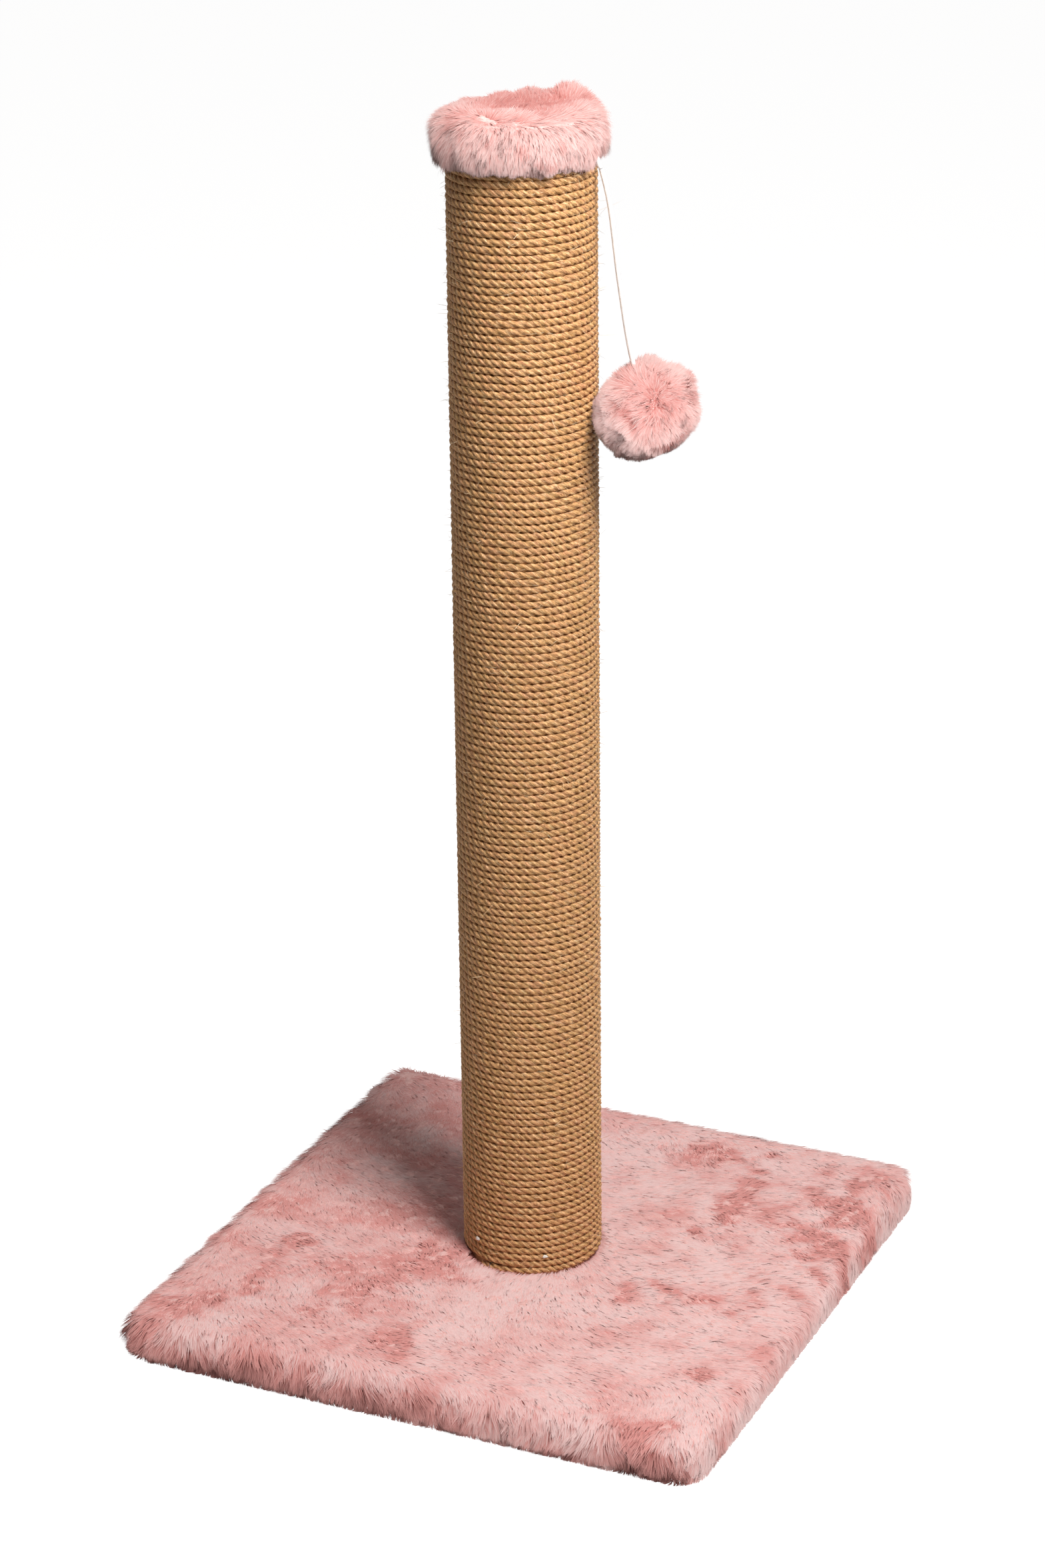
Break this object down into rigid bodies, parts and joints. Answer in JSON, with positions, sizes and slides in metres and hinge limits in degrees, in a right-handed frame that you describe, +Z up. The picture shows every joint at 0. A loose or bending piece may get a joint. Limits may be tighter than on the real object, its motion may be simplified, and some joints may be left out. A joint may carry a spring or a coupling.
{
  "type": "cat scratching post",
  "caption": "Upright cat scratching post: rope-wound round post on a square plush-covered base, with a plush cap and a plush ball on a short cord.",
  "frame": {"origin": "on the floor, under the middle of the base and of the post", "axes": "+Z up along the post, +X towards the side on which the ball hangs, -Y towards the front"},
  "size_m": [0.517, 0.517, 1.034],
  "materials": {
    "plush": "long soft pile, pink",
    "sisal_rope": "three-strand laid rope, coarse fibres",
    "white_cord": "smooth round cord",
    "underside_felt": "matt non-woven cloth",
    "wadding": "loose polyester wadding",
    "board": "raw fibreboard",
    "cardboard": "wound paper tube",
    "zinc_steel": "zinc plated",
    "steel_wire": "galvanised wire"
  },
  "bodies": {
    "post": {"underside_cloth": "underside_felt", "underside_staples": "steel_wire", "base_board": "board", "base_plush": "plush", "base_bolt": "zinc_steel", "base_washer": "zinc_steel", "tee_nut": "zinc_steel", "bottom_plug": "board", "bottom_plug_nails": "steel_wire", "post_tube": "cardboard", "top_plug": "board", "top_plug_nails": "steel_wire", "rope_lower_turns": "sisal_rope", "rope_middle": "sisal_rope", "rope_upper_turns": "sisal_rope", "rope_staples": "steel_wire", "cap_pad": "wadding", "cap_plush": "plush", "cap_staples": "steel_wire", "cord_staple": "steel_wire", "cord_fixed_end": "white_cord"},
    "cord_bend": {"cord_bend": "white_cord"},
    "hanging_cord": {"cord": "white_cord", "cord_knot": "white_cord"},
    "pompom": {"pompom_filling": "wadding", "pompom_plush": "plush"}
  },
  "joints": [
    {"name": "swing_out", "type": "hinge", "parent": "post", "child": "cord_bend", "pos_m": [0.0656, 0.00516, 0.985], "axis": [0.0785, -0.9969, 0], "range_deg": [0, 75]},
    {"name": "swing_side", "type": "hinge", "parent": "cord_bend", "child": "hanging_cord", "pos_m": [0.0656, 0.00516, 0.985], "axis": [0.9801, 0.0771, 0.1829], "range_deg": [-75, 75]},
    {"name": "pompom_spin", "type": "hinge", "parent": "hanging_cord", "child": "pompom", "pos_m": [0.10139, 0.00798, 0.792], "axis": [-0.2412, -0.019, 0.9703], "continuous": true}
  ]
}
